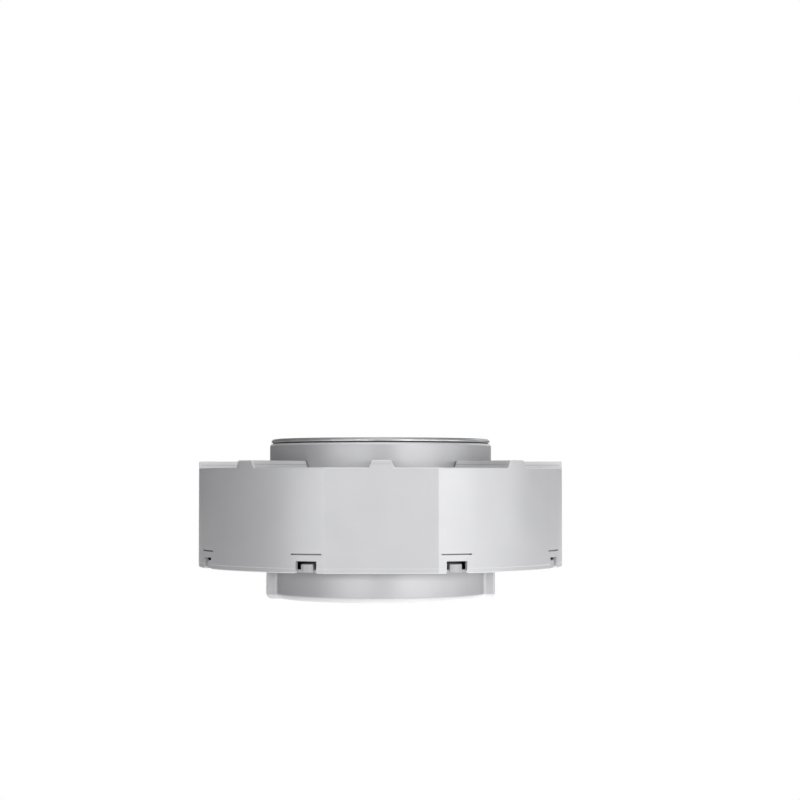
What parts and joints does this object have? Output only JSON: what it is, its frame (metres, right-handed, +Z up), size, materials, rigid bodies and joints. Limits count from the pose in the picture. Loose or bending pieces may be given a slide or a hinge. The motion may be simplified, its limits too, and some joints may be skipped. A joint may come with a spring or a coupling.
{
  "type": "lidar scanner module",
  "caption": "Round lidar scanner: a spinning drum head with a top window turns inside a spoked ring shell on a small round base with side lugs.",
  "frame": {"origin": "centre of the base's underside, on the head's spin axis", "axes": "+Z up along the head's spin axis, the shell's one flat faces -Y, the socket faces +Y, the base lugs lie along X"},
  "size_m": [0.075, 0.0734, 0.0326],
  "materials": {
    "satin_silver": "bead-blasted, clear silver-grey finish",
    "polished_bezel": "turned and polished",
    "window_glass": "dark infrared-passing glass, polished",
    "black_metal": "black anodised",
    "grey_plastic": "moulded, grey",
    "black_plastic": "moulded, black",
    "ivory_plastic": "moulded connector nylon",
    "rubber_black": "moulded silicone",
    "board": "glass-epoxy board with solder mask",
    "chips": "moulded chip packages",
    "steel": "ground or turned",
    "laminations": "stacked silicon steel",
    "magnet_plate": "nickel plated",
    "grey_metal": "machined, hard anodised",
    "copper": "enamelled copper wire",
    "ferrite": "sintered ferrite",
    "brass": "machined",
    "lens_glass": "coated optical glass",
    "mirror": "front-silvered facets",
    "code_ring": "magnetised ring"
  },
  "bodies": {
    "base": {"base_housing": "satin_silver", "base_gasket": "rubber_black", "base_screws": "steel", "main_pcb": "board", "main_board_chips": "chips", "socket_shell": "ivory_plastic", "socket_pins": "brass", "link_header": "black_plastic", "chassis_plate": "black_metal", "snap_ring": "grey_plastic", "outer_shell": "satin_silver", "dust_seal": "rubber_black", "chassis_screws": "steel", "motor_mount_ring": "grey_metal", "stator_core": "laminations", "stator_coils": "copper", "driver_pcb": "board", "driver_board_chips": "chips", "encoder_reader": "chips", "bearing_housing": "satin_silver", "bearing_outer_races": "steel", "lower_ferrite": "ferrite", "lower_coil": "copper"},
    "bearing_cage": {"bearing_balls": "steel", "bearing_cages": "brass"},
    "head": {"bearing_inner_races": "steel", "hub_shaft": "steel", "shaft_clip": "steel", "upper_ferrite": "ferrite", "upper_coil": "copper", "drum_housing": "satin_silver", "rotor_yoke": "laminations", "rotor_magnets": "magnet_plate", "encoder_ring": "code_ring", "head_screws": "steel", "head_pcb": "board", "head_board_chips": "chips", "data_emitter": "lens_glass", "optical_bench": "grey_metal", "light_baffle": "black_plastic", "counterweight": "brass", "laser_board": "board", "laser_diode": "brass", "laser_barrel": "black_metal", "laser_lens": "lens_glass", "receiver_board": "board", "receiver_detector": "chips", "receiver_barrel": "black_metal", "receiver_lens": "lens_glass", "mirror_brackets": "grey_metal", "mirror_bushes": "brass", "mirror_motor_stator": "laminations", "mirror_motor_coils": "copper", "bezel_ring": "polished_bezel", "bezel_gasket": "rubber_black", "window_glass": "window_glass"},
    "mirror": {"mirror_prism": "mirror", "mirror_shaft": "steel", "mirror_motor_bell": "steel", "mirror_motor_magnet": "magnet_plate"}
  },
  "joints": [
    {"name": "head_spin", "type": "hinge", "parent": "base", "child": "head", "pos_m": [0, 0, 0.0116], "axis": [0, 0, 1], "continuous": true},
    {"name": "cage_spin", "type": "hinge", "parent": "base", "child": "bearing_cage", "pos_m": [0, 0, 0.0116], "axis": [0, 0, 1], "continuous": true},
    {"name": "mirror_spin", "type": "hinge", "parent": "head", "child": "mirror", "pos_m": [0, 0.005, 0.0264], "axis": [1, 0, 0], "continuous": true}
  ],
  "couplings": [
    {"joint": "cage_spin", "follows": "head_spin", "ratio": 0.39375}
  ]
}
